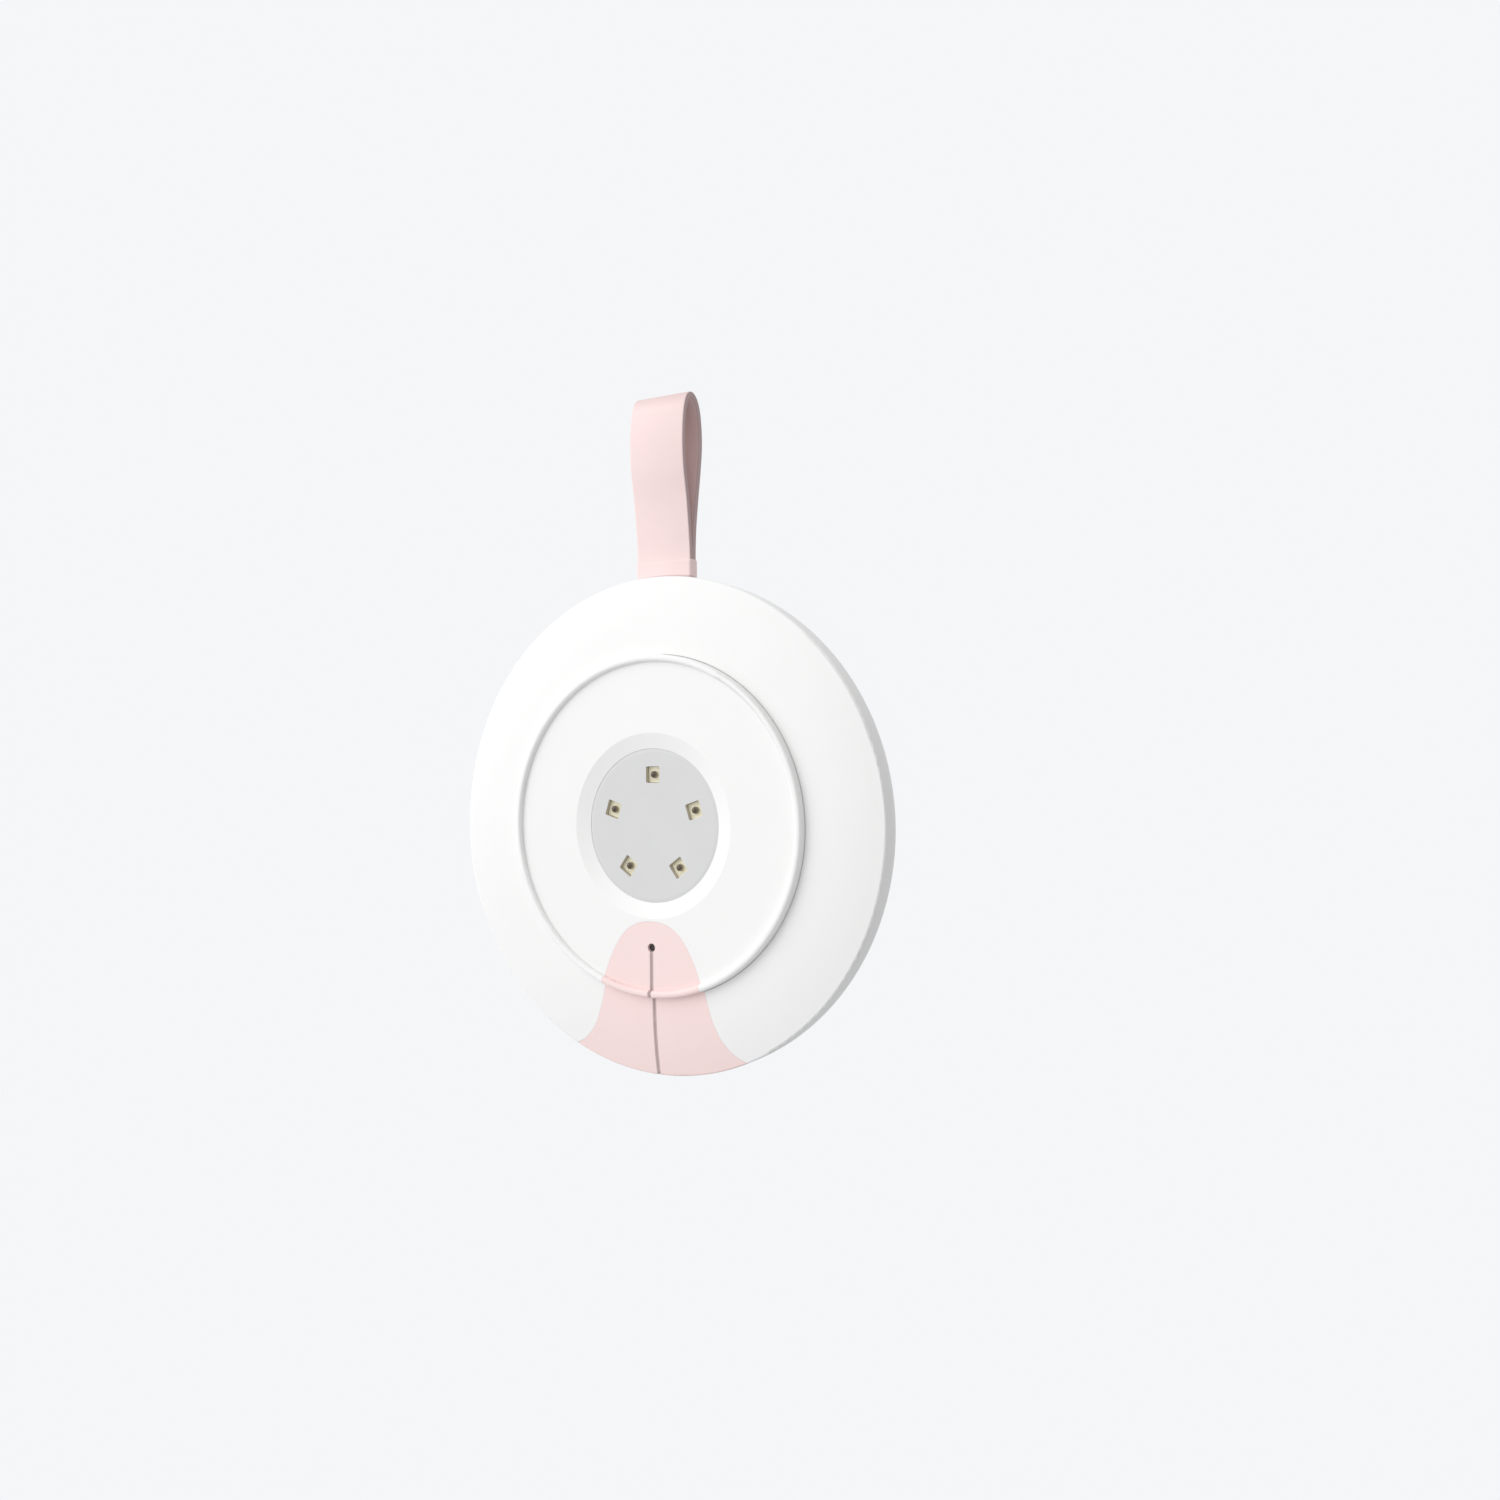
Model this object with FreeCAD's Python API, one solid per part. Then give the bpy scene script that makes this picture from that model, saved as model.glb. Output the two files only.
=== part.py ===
import FreeCAD, Part
import math
import os

V = FreeCAD.Vector

# Rechargeable disc lamp that hangs from a silicone loop, in millimetres.
# The disc's axis is Y: the lit face looks along -Y, the back along +Y, and the loop is at +Z.
# Pieces are drawn about the disc's centre and moved at the end, so that the origin
# is the top of the loop's inside, where a hook carries it.

# ---- outer shape ----
BODY_R = 55.0
SIDE_START_Y = 3.05      # the front rim's edge
SIDE_END_Y = 6.1         # where the side wall starts to round into the back
BACK_ROUND = 8.0
BACK_CROWN = 0.9
PARTING_RISE = 4.1        # from the side wall's end to the parting line
RIM_ROUND = 0.5
WALL = 1.8
REVEAL = 0.25

# ---- front ----
FACE_Y = 0.3
DOME_Y = 1.3
LIP_IN_R = 36.0
LIP_OUT_R = 37.6
LIP_TOP_Y = -0.75
LIP_ROUND = 0.65
PANEL_T = 2.0
PANEL_GAP = 0.1
PLATE_R = 16.9
CONE_W = 3.5
PLATE_Y = 1.2
PLATE_T = 1.6
PLATE_GAP = 0.03
PLATE_BEVEL = 0.7
PLATE_BEVEL_DEPTH = 0.08

# ---- light source ----
LED_COUNT = 5
LED_CIRCLE_R = 11.2
LED_W = 3.5
LED_H = 0.6
LED_SLOT_GAP = 0.05
LED_CORNER_R = 0.3
LED_WINDOW_R = 0.8
LED_WINDOW_EDGE = 0.4
LED_WINDOW_CROWN = 0.75
LED_BOARD_MARGIN = 3.6
LED_BOARD_T = 1.0
PAD_INSET = 3.5
PAD_T = 0.3
SPREADER_T = 1.5

# ---- clamp of panel, cover and spreader ----
CLAMP_INSET = 2.8
CLAMP_FLANGE_IN = 3.7
CLAMP_FLANGE_OUT = 1.9
CLAMP_BOSS_R = 2.1
CLAMP_SHANK_R = 0.85
CLAMP_LENGTH = 4.0
CLAMP_HEAD_R = 1.7
CLAMP_HEAD_H = 1.0
SHANK_GAP = 0.05
THROUGH_GAP = 0.15
BOSS_GAP = 0.1
HEAD_BEVEL = 0.3         # share of a screw head's height that is bevelled
CROSS_W = 0.5

# ---- tongue ----
TONGUE_HEAD = ((0, -21.0), (3.4, -21.45), (6.3, -22.95), (8.7, -25.5), (10.5, -28.6), (12.3, -32.8),
               (13.6, -37.7))
TONGUE_FOOT = ((15.2, 12.3), (16.6, 9.6), (18.5, 7.3), (22.8, 4.9))      # heights above the rim's lowest point
TONGUE_T = 1.0
TONGUE_WRAP = 1.25
SEAM = 0.03
SLIT_W = 0.7
SLIT_DEPTH = 0.6
EYE_R = 0.95
EYE_Z = -26.7

# ---- light guide and sensor behind the tongue's eye ----
GUIDE_R = 0.75
GUIDE_FLANGE_R = 1.6
GUIDE_FLANGE_T = 0.8
GUIDE_INSET = 0.6
GUIDE_GAP = 0.3
SENSOR_W = 2.0
SENSOR_L = 1.6
SENSOR_H = 0.7

# ---- housing joint ----
LAP_DEPTH = 1.2
LAP_INSET = 2.2
LAP_GAP = 0.1
HOUSING_INSET = 11.0
HOUSING_BOSS_R = 3.2
HOUSING_BOSS_DROP = 0.9
HOUSING_SHANK_R = 1.1
HOUSING_GRIP = 3.5       # screw length inside the front cover's boss
HOUSING_HEAD_R = 2.0
HOUSING_HEAD_H = 1.4
HOUSING_SEAT_T = 2.8
SCREW_TIP_ROOM = 0.4
FOOT_R = 4.5
FOOT_POCKET = 0.9
FOOT_H = 3.0
FOOT_BEVEL = 0.4
FOOT_GAP = 0.1

# ---- strap ----
STRAP_W = 14.0
STRAP_T = 1.3
STRAP_BACK_OFFSET = 1.1      # its middle plane, behind the side wall's end
STRAP_ROOT_RISE = 5.75   # from the rim to the line where the strap bends
STRAP_ROOT_R = 1.3
# (y from the strap's middle plane, height above the bending line)
LOOP_FRONT = ((-1.8, 5.25), (-2.6, 11.75), (-3.75, 18.25), (-4.1, 23.75), (-3.8, 28.75), (-3.0, 32.55))
LOOP_TOP = (-0.2, 35.35)
LOOP_BACK = ((2.8, 32.75), (4.0, 28.65), (4.2, 23.75), (3.55, 18.05), (2.55, 11.75), (1.65, 5.25))
LOOP_SPLIT = 1.75        # height below which the two legs are one
COLLAR_W = 14.54
COLLAR_T = 3.1
COLLAR_RISE = 3.9
COLLAR_ROUND = 0.5
NECK_W = 13.0
NECK_T = 2.6
SHOULDER_W = 18.0
SHOULDER_T = 3.6
SHOULDER_H = 2.6
SHOULDER_GAP = 0.25
TAB_LENGTH = 10.0
POST_R = 1.5
POST_INSET = 8.0
POST_GAP = 0.1
POST_STOP_R = 3.0
SLOT_GAP = 0.1

# ---- main board ----
BOARD_RISE = 2.4         # height of the standoffs between spreader and board
BOARD_T = 1.0
BOARD_W = 44.0
BOARD_TOP_Z = 8.0
BOARD_SHOULDER_Z = -38.0
BOARD_NOSE_INSET = 4.5
BOARD_NOSE_W = 14.0
BOARD_SCREW_R = 0.8
BOARD_SCREW_LENGTH = 3.0
BOARD_HEAD_R = 1.7
BOARD_HEAD_H = 1.1
STANDOFF_R = 1.8
STANDOFF_SPIGOT_R = 1.1
STANDOFF_AT = ((-18.0, 4.0), (18.0, 4.0))
BOARD_BOSS_R = 2.5
BOARD_BOSS_AT = ((-16.0, -38.5), (16.0, -38.5))
# width, height and length, then x and z on the board
CHARGER_CHIP = (5.0, 1.5, 4.0, -10.0, -22.0)
CONTROL_CHIP = (4.4, 1.2, 5.0, 11.0, -14.0)
INDUCTOR = (5.0, 2.5, 5.0, 9.0, -29.0)
COIL_ROUND = 1.0
CAPACITOR = (1.6, 0.8, 0.8)
CAPACITORS_AT = ((-14, -14), (-11, -14), (-4, -24), (-4, -27), (3, -24), (-10, -32))

# ---- button ----
BUTTON_R = 6.3
BUTTON_RISE = 0.6
BUTTON_DISH = 0.35
BUTTON_FLANGE_R = 8.0
BUTTON_FLANGE_T = 0.7
BUTTON_GAP = 0.1
SWITCH_W = 6.0
SWITCH_H = 1.8
SWITCH_BORE_DEPTH = 1.2
PLUNGER_R = 1.7
PLUNGER_GAP = 0.05
PLUNGER_ENTRY = 0.7

# ---- charging inlet ----
INLET_W = 8.94
INLET_H = 3.26
INLET_LENGTH = 7.3
INLET_WALL = 0.3
INLET_INSET = 0.7
INLET_GAP = 0.17
INLET_TONGUE_W = 6.7
INLET_TONGUE_T = 0.7
INLET_TONGUE_LENGTH = 4.5

# ---- charge light ----
CHARGE_Z = -14.0
CHARGE_LED_W = 1.6
CHARGE_LED_L = 0.8
CHARGE_LED_H = 0.6
PIPE_R = 1.05
PIPE_FLANGE_R = 2.0
PIPE_FLANGE_T = 0.8
PIPE_GAP = 0.05

# ---- battery and wires ----
BATTERY_W = 40.0
BATTERY_L = 30.0
BATTERY_T = 5.5
BATTERY_GAP = 4.0
BATTERY_ROUND = 1.2
TAPE_T = 0.6
TAPE_MARGIN = 2.0
WIRE_R = 0.45
WIRE_BEND_R = 1.3
BATTERY_WIRE_DROP = 3.0
BATTERY_WIRE_X = 9.5
LED_WIRE_X = 2.2
LED_WIRE_INSET = 1.5
WIRE_HOLE_GAP = 0.4
WIRE_INSET = 0.2

# ---- levels that follow from the sizes above ----
PARTING_Y = SIDE_END_Y + PARTING_RISE
LAP_Y = PARTING_Y - LAP_DEPTH
LAP_R = BODY_R - LAP_INSET
TONGUE_END_Y = SIDE_START_Y + TONGUE_WRAP
TONGUE_EDGE = TONGUE_HEAD + tuple((x, height - BODY_R) for x, height in TONGUE_FOOT)
CONE_R = PLATE_R + CONE_W
BACK_R = BODY_R - BACK_ROUND
BACK_EDGE_Y = SIDE_END_Y + BACK_ROUND
BACK_Y = BACK_EDGE_Y + BACK_CROWN
BACK_INSIDE_Y = BACK_EDGE_Y - WALL
COVER_BORE_R = LIP_OUT_R + PANEL_GAP
PLATE_HOLE_R = PLATE_R + PLATE_GAP
LED_BOARD_R = PLATE_R + LED_BOARD_MARGIN
PAD_R = LED_BOARD_R - PAD_INSET
LED_BOARD_Y = PLATE_Y + PLATE_T
PAD_Y = LED_BOARD_Y + LED_BOARD_T
SPREADER_Y = PAD_Y + PAD_T
SPREADER_BACK_Y = SPREADER_Y + SPREADER_T
PANEL_BACK_Y = FACE_Y + PANEL_T
FLANGE_Y = LED_BOARD_Y
SPREADER_R = LIP_IN_R
CLAMP_CIRCLE_R = LIP_IN_R - CLAMP_INSET
FLANGE_IN_R = CLAMP_CIRCLE_R - CLAMP_FLANGE_IN
FLANGE_OUT_R = LIP_OUT_R + CLAMP_FLANGE_OUT
BOARD_Y = SPREADER_BACK_Y + BOARD_RISE
BOARD_NOSE_Z = BOARD_NOSE_INSET - BODY_R
BOARD_BACK_Y = BOARD_Y + BOARD_T
SWITCH_TOP_Y = BOARD_BACK_Y + SWITCH_H
BUTTON_FLANGE_Y = BACK_INSIDE_Y - BUTTON_GAP - BUTTON_FLANGE_T
FOOT_SEAT_Y = BACK_EDGE_Y - FOOT_POCKET
HOUSING_CIRCLE_R = BODY_R - HOUSING_INSET
HOUSING_BOSS_Y = LAP_Y - HOUSING_BOSS_DROP
HOUSING_SEAT_Y = HOUSING_BOSS_Y + LAP_GAP + HOUSING_SEAT_T
HOUSING_LENGTH = HOUSING_SEAT_T + LAP_GAP + HOUSING_GRIP
STRAP_Y = SIDE_END_Y + STRAP_BACK_OFFSET
STRAP_ROOT_Z = BODY_R + STRAP_ROOT_RISE
LOOP_SPLIT_Z = STRAP_ROOT_Z + LOOP_SPLIT
COLLAR_TOP_Z = BODY_R + COLLAR_RISE
POST_Z = BODY_R - POST_INSET
BUTTON_CROWN_Y = BACK_Y + BUTTON_RISE
BATTERY_LOW_Z = BOARD_TOP_Z + BATTERY_GAP
BATTERY_WIRE_Z = BOARD_TOP_Z - BATTERY_WIRE_DROP
LED_WIRE_Z = LED_WIRE_INSET - LED_BOARD_R
INLET_Y = BOARD_Y - INLET_H / 2
HANG_POINT = V(0, STRAP_Y + LOOP_TOP[0], STRAP_ROOT_Z + LOOP_TOP[1] - STRAP_T)
CORNERS = (45, 135, 225, 315)
HALF_ROOT = math.sqrt(0.5)


# ---- shared shapes ----
def rod(radius, low_y, high_y, x=0.0, z=0.0):
    return Part.makeCylinder(radius, high_y - low_y, V(x, low_y, z), V(0, 1, 0))


def block(width, low_y, high_y, low_z, high_z, x=0.0):
    return Part.makeBox(width, high_y - low_y, high_z - low_z, V(x - width / 2, low_y, low_z))


def ring_places(radius, angles):
    places = []
    for angle in angles:
        turn = math.radians(angle)
        places.append((radius * math.cos(turn), radius * math.sin(turn)))
    return places


def edges_along(shape, way):
    """The straight edges that run along one direction."""
    return [edge for edge in shape.Edges if abs(edge.tangentAt(edge.FirstParameter).dot(way)) > 0.99]


def outline(start, steps):
    """Closed wire in (radius, y): a step is one point, or two for an arc through the first."""
    edges = []
    here = V(start[0], start[1], 0)
    for step in list(steps) + [start]:
        if isinstance(step[0], tuple):
            middle = V(step[0][0], step[0][1], 0)
            there = V(step[1][0], step[1][1], 0)
            edges.append(Part.Arc(here, middle, there).toShape())
        else:
            there = V(step[0], step[1], 0)
            edges.append(Part.makeLine(here, there))
        here = there
    return Part.Wire(edges)


def turned(start, steps):
    """Solid of revolution about the disc's axis."""
    return Part.Face(outline(start, steps)).revolve(V(0, 0, 0), V(0, 1, 0), 360)


def joined(first, others):
    return first.multiFuse(list(others)).removeSplitter()


def without(shape, cutters):
    for cutter in cutters:
        shape = shape.cut(cutter)
    return shape


# ---- the skin: the outer surface from the face over the lip and dome to the parting line ----
def dome_y(radius):
    """Level of the dome, a shallow arc that leaves the lip's foot along the face."""
    span = BODY_R - LIP_OUT_R
    rise = SIDE_START_Y - DOME_Y
    ball_r = (span ** 2 + rise ** 2) / (2 * rise)
    return DOME_Y + ball_r - math.sqrt(ball_r ** 2 - (radius - LIP_OUT_R) ** 2)


def back_point(depth, angle):
    radius = BACK_ROUND - depth
    return (BACK_R + radius * math.cos(angle), SIDE_END_Y + radius * math.sin(angle))


def back_angle(depth, y):
    return math.asin((y - SIDE_END_Y) / (BACK_ROUND - depth))


def back_arc(depth, from_y, to_y):
    first = back_angle(depth, from_y)
    last = back_angle(depth, to_y)
    return (back_point(depth, (first + last) / 2), back_point(depth, last))


def crown(edge_r, edge_y, centre_y):
    """Arc of a sphere from (edge_r, edge_y) to the axis at centre_y."""
    rise = centre_y - edge_y
    ball_r = (edge_r ** 2 + rise ** 2) / (2 * abs(rise))
    half = math.asin(edge_r / ball_r) / 2
    middle_y = centre_y - math.copysign(ball_r * (1 - math.cos(half)), rise)
    return ((ball_r * math.sin(half), middle_y), (0, centre_y))


def lip_steps(depth):
    """From the face up over the lip and down to the dome, the lip taken depth in."""
    bend = max(LIP_ROUND - depth, 0)
    top = LIP_TOP_Y + depth
    inner = LIP_IN_R + depth
    outer = LIP_OUT_R - depth
    short = bend * (1 - HALF_ROOT)
    steps = [(inner, FACE_Y + depth)]
    if bend:
        steps.append((inner, top + bend))
        steps.append(((inner + short, top + short), (inner + bend, top)))
        steps.append((outer - bend, top))
        steps.append(((outer - short, top + short), (outer, top + bend)))
    else:
        steps.append((inner, top))
        steps.append((outer, top))
    return steps


def dome_and_wall(depth, start_r):
    """From the dome's inner edge over the front rim and along the side wall."""
    bend = max(RIM_ROUND - depth, 0)
    end_r = BODY_R - depth - bend
    middle_r = (start_r + end_r) / 2
    end_y = dome_y(end_r) + depth
    steps = [((middle_r, dome_y(middle_r) + depth), (end_r, end_y))]
    if bend:
        middle = (end_r + bend * HALF_ROOT, end_y + bend * (1 - HALF_ROOT))
        steps.append((middle, (BODY_R - depth, end_y + bend)))
    steps.append((BODY_R - depth, SIDE_END_Y))
    return steps


def behind_skin(depth):
    """Solid that fills everything behind the skin, up to the parting line."""
    steps = []
    if depth < (LIP_OUT_R - LIP_IN_R) / 2:
        steps += lip_steps(depth)
        start_r = LIP_OUT_R - depth
    else:
        start_r = (LIP_IN_R + LIP_OUT_R) / 2
        steps.append((start_r, FACE_Y + depth))
    steps.append((start_r, dome_y(start_r) + depth))
    steps += dome_and_wall(depth, start_r)
    steps.append(back_arc(depth, SIDE_END_Y, PARTING_Y))
    steps.append((0, PARTING_Y))
    return turned((0, FACE_Y + depth), steps)


def skin_layer(depth):
    return behind_skin(0).cut(behind_skin(depth))


def tongue_prism(grow):
    """The tongue's bell outline, grown by a seam, run through the disc along Y."""
    right = [V(x, 0, z) for x, z in TONGUE_EDGE]
    left = [V(-point.x, 0, point.z) for point in right[:0:-1]]
    curve = Part.BSplineCurve()
    curve.interpolate(left + right)
    moved = []
    for point in left + right:
        along = curve.tangent(curve.parameter(point))[0]
        moved.append(point + V(-along.z, 0, along.x) * grow)
    edge = Part.BSplineCurve()
    edge.interpolate(moved)
    foot_x = moved[-1].x + grow
    low_right = V(foot_x, 0, -BODY_R - 1)
    low_left = V(-foot_x, 0, -BODY_R - 1)
    sides = Part.makePolygon([moved[-1], low_right, low_left, moved[0]]).Edges
    face = Part.Face(Part.Wire([edge.toShape()] + sides))
    face.translate(V(0, LIP_TOP_Y - 1, 0))
    return face.extrude(V(0, TONGUE_END_Y + grow - LIP_TOP_Y + 1, 0))


def tongue_pocket():
    return tongue_prism(SEAM).cut(behind_skin(TONGUE_T))


# ---- covers ----
def inlet_profile(grow, low_z, length):
    """Rounded slot of the charging inlet's outline, run along Z."""
    half_h = INLET_H / 2 + grow
    straight = INLET_W / 2 - INLET_H / 2
    shape = Part.makeBox(2 * straight, 2 * half_h, length, V(-straight, INLET_Y - half_h, low_z))
    for side in (-straight, straight):
        shape = shape.fuse(Part.makeCylinder(half_h, length, V(side, INLET_Y, low_z)))
    return shape.removeSplitter()


def front_cover():
    wall_r = BODY_R - WALL
    inner_lap = back_point(WALL, back_angle(WALL, LAP_Y))
    middle_r = (wall_r + FLANGE_OUT_R) / 2
    flange_back = SPREADER_Y
    steps = dome_and_wall(0, COVER_BORE_R)
    steps += [
        back_arc(0, SIDE_END_Y, PARTING_Y),
        (LAP_R + LAP_GAP, PARTING_Y),
        (LAP_R + LAP_GAP, LAP_Y),
        inner_lap,
        back_arc(WALL, LAP_Y, SIDE_END_Y),
        (wall_r, dome_y(wall_r) + WALL),
        ((middle_r, dome_y(middle_r) + WALL), (FLANGE_OUT_R, dome_y(FLANGE_OUT_R) + WALL)),
        (FLANGE_OUT_R, flange_back),
        (FLANGE_IN_R, flange_back),
        (FLANGE_IN_R, FLANGE_Y),
        (COVER_BORE_R, FLANGE_Y),
    ]
    shell = turned((COVER_BORE_R, dome_y(COVER_BORE_R)), steps)
    bosses = []
    for x, z in ring_places(HOUSING_CIRCLE_R, CORNERS):
        bosses.append(rod(HOUSING_BOSS_R, dome_y(HOUSING_CIRCLE_R) + WALL / 2, HOUSING_BOSS_Y, x, z))
    for x, z in BOARD_BOSS_AT:
        bosses.append(rod(BOARD_BOSS_R, dome_y(math.hypot(x, z)) + WALL / 2, BOARD_Y, x, z))
    bosses.append(rod(POST_R, dome_y(POST_Z) + WALL / 2, LAP_Y, 0, POST_Z))
    shell = joined(shell, bosses)
    tip_y = HOUSING_SEAT_Y - HOUSING_LENGTH - SCREW_TIP_ROOM
    cutters = [tongue_pocket()]
    for x, z in ring_places(HOUSING_CIRCLE_R, CORNERS):
        cutters.append(rod(HOUSING_SHANK_R + SHANK_GAP, tip_y, HOUSING_BOSS_Y + 1, x, z))
    for x, z in BOARD_BOSS_AT:
        board_tip_y = BOARD_BACK_Y - BOARD_SCREW_LENGTH - SCREW_TIP_ROOM
        cutters.append(rod(BOARD_SCREW_R + SHANK_GAP, board_tip_y, BOARD_Y + 1, x, z))
    for x, z in ring_places(CLAMP_CIRCLE_R, CORNERS):
        cutters.append(rod(CLAMP_BOSS_R + BOSS_GAP, FLANGE_Y - 1, flange_back + 1, x, z))
    low_slot = STRAP_Y - NECK_T / 2 - SLOT_GAP
    high_slot = STRAP_Y + NECK_T / 2 + SLOT_GAP
    past_wall = 3 * WALL
    cutters.append(block(NECK_W + 2 * SLOT_GAP, low_slot, high_slot, BODY_R - past_wall, BODY_R + 1))
    cutters.append(inlet_profile(INLET_GAP, -BODY_R - 1, past_wall))
    return without(shell, cutters)


def rear_cover():
    lap_in = back_point(WALL, back_angle(WALL, PARTING_Y))
    skin_at_parting = back_point(0, back_angle(0, PARTING_Y))
    skin_at_reveal = back_point(0, back_angle(0, PARTING_Y + REVEAL))
    steps = [
        (BACK_R, BACK_INSIDE_Y),
        back_arc(WALL, BACK_INSIDE_Y, PARTING_Y),
        (lap_in[0], LAP_Y + LAP_GAP),
        (LAP_R, LAP_Y + LAP_GAP),
        (LAP_R, PARTING_Y),
        (skin_at_parting[0] - REVEAL, PARTING_Y),
        (skin_at_parting[0] - REVEAL, PARTING_Y + REVEAL),
        skin_at_reveal,
        back_arc(0, PARTING_Y + REVEAL, BACK_EDGE_Y),
        crown(BACK_R, BACK_EDGE_Y, BACK_Y),
    ]
    shell = turned((0, BACK_INSIDE_Y), steps)
    boss_low = HOUSING_BOSS_Y + LAP_GAP
    into_wall = BACK_INSIDE_Y + WALL / 2
    bosses = []
    for x, z in ring_places(HOUSING_CIRCLE_R, CORNERS):
        bosses.append(rod(HOUSING_BOSS_R, boss_low, into_wall, x, z))
    bosses.append(rod(POST_STOP_R, LAP_Y + LAP_GAP, into_wall, 0, POST_Z))
    shell = joined(shell, bosses)
    cutters = [
        rod(BUTTON_R + BUTTON_GAP, BACK_INSIDE_Y - 1, BACK_Y + 1),
        rod(PIPE_R + PIPE_GAP, BACK_INSIDE_Y - 1, BACK_Y + 1, 0, CHARGE_Z),
    ]
    for x, z in ring_places(HOUSING_CIRCLE_R, CORNERS):
        cutters.append(rod(HOUSING_SHANK_R + THROUGH_GAP, boss_low - 1, BACK_Y, x, z))
        cutters.append(rod(HOUSING_HEAD_R + FOOT_GAP, HOUSING_SEAT_Y, BACK_Y, x, z))
        cutters.append(rod(FOOT_R + FOOT_GAP, FOOT_SEAT_Y, BACK_Y + 1, x, z))
    return without(shell, cutters)


def face_panel():
    ring_in = PLATE_HOLE_R
    ring_out = LED_BOARD_R
    steps = [(CONE_R, FACE_Y)]
    steps += lip_steps(0)
    steps += [
        (LIP_OUT_R, FLANGE_Y),
        (FLANGE_IN_R, FLANGE_Y),
        (FLANGE_IN_R, PANEL_BACK_Y),
        (ring_out, PANEL_BACK_Y),
        (ring_out, LED_BOARD_Y),
        (ring_in, LED_BOARD_Y),
    ]
    panel = turned((ring_in, PLATE_Y), steps)
    places = ring_places(CLAMP_CIRCLE_R, CORNERS)
    boss_end = SPREADER_Y - BOSS_GAP
    panel = joined(panel, [rod(CLAMP_BOSS_R, PANEL_BACK_Y - 1, boss_end, x, z) for x, z in places])
    tip_y = SPREADER_BACK_Y - CLAMP_LENGTH - SCREW_TIP_ROOM / 2
    cutters = [rod(CLAMP_SHANK_R + SHANK_GAP, tip_y, SPREADER_Y, x, z) for x, z in places]
    cutters.append(tongue_pocket())
    cutters.append(rod(GUIDE_R + PIPE_GAP, FACE_Y - 1, PANEL_BACK_Y + 1, 0, EYE_Z))
    return without(panel, cutters)


def front_tongue():
    tongue = skin_layer(TONGUE_T).common(tongue_prism(0))
    slit = skin_layer(SLIT_DEPTH).common(block(SLIT_W, LIP_TOP_Y - 1, TONGUE_END_Y + 1, -BODY_R - 1, EYE_Z))
    eye = rod(EYE_R, LIP_TOP_Y, FACE_Y + TONGUE_T + 1, 0, EYE_Z)
    return without(tongue, [slit, eye])


# ---- light source ----
def led_angles():
    return [90 + 360 * index / LED_COUNT for index in range(LED_COUNT)]


def led_square(width, low_y, high_y, angle):
    """Square post on the LED circle with rounded corners, one side facing the centre."""
    post = block(width, low_y, high_y, LED_CIRCLE_R - width / 2, LED_CIRCLE_R + width / 2)
    post = post.makeFillet(LED_CORNER_R, edges_along(post, V(0, 1, 0)))
    post.rotate(V(0, 0, 0), V(0, 1, 0), 90 - angle)
    return post


def reflector_plate():
    steps = [
        (PLATE_R - PLATE_BEVEL, PLATE_Y),
        (PLATE_R, PLATE_Y + PLATE_BEVEL_DEPTH),
        (PLATE_R, LED_BOARD_Y),
        (0, LED_BOARD_Y),
    ]
    plate = turned((0, PLATE_Y), steps)
    windows = [led_square(LED_W + 2 * LED_SLOT_GAP, 0, LED_BOARD_Y + 1, angle) for angle in led_angles()]
    return without(plate, windows)


def led_package(angle):
    return led_square(LED_W, LED_BOARD_Y - LED_H, LED_BOARD_Y, angle)


def led_window(angle):
    """Glass dome that sits on the front of the package."""
    (x, z), = ring_places(LED_CIRCLE_R, [angle])
    floor = LED_BOARD_Y - LED_H
    edge = floor - LED_WINDOW_EDGE
    ball_r = (LED_WINDOW_R ** 2 + LED_WINDOW_CROWN ** 2) / (2 * LED_WINDOW_CROWN)
    ball = Part.makeSphere(ball_r, V(x, edge - LED_WINDOW_CROWN + ball_r, z))
    return rod(LED_WINDOW_R, edge - LED_WINDOW_CROWN, floor, x, z).common(ball)


def led_board():
    return rod(LED_BOARD_R, LED_BOARD_Y, PAD_Y)


def thermal_pad():
    return rod(PAD_R, PAD_Y, SPREADER_Y)


def heat_spreader():
    plate = rod(SPREADER_R, SPREADER_Y, SPREADER_BACK_Y)
    hole_end = SPREADER_BACK_Y + 1
    cutters = []
    for x, z in ring_places(CLAMP_CIRCLE_R, CORNERS):
        cutters.append(rod(CLAMP_SHANK_R + THROUGH_GAP, SPREADER_Y - 1, hole_end, x, z))
    for x, z in STANDOFF_AT:
        cutters.append(rod(STANDOFF_SPIGOT_R, SPREADER_Y - 1, hole_end, x, z))
    for x in (-LED_WIRE_X, LED_WIRE_X):
        cutters.append(rod(WIRE_R + WIRE_HOLE_GAP, SPREADER_Y - 1, hole_end, x, LED_WIRE_Z))
    cutters.append(rod(GUIDE_R + WIRE_HOLE_GAP, SPREADER_Y - 1, hole_end, 0, EYE_Z))
    return without(plate, cutters)


# ---- fasteners ----
def pan_screw(seat_y, length, shank_r, head_r, head_h, x, z):
    """Cross-slotted screw driven from the back towards -Y, its head standing on seat_y."""
    shank = rod(shank_r, seat_y - length, seat_y, x, z)
    top = seat_y + head_h
    head = rod(head_r, seat_y, top - head_h * HEAD_BEVEL, x, z)
    bevel = Part.makeCone(head_r, head_r * (1 - HEAD_BEVEL), head_h * HEAD_BEVEL,
                          V(x, top - head_h * HEAD_BEVEL, z), V(0, 1, 0))
    screw = joined(shank, [head, bevel])
    arm = head_r / 2
    slots = [
        block(2 * arm, top - head_h / 2, top + 1, z - CROSS_W / 2, z + CROSS_W / 2, x),
        block(CROSS_W, top - head_h / 2, top + 1, z - arm, z + arm, x),
    ]
    return without(screw, slots)


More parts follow.
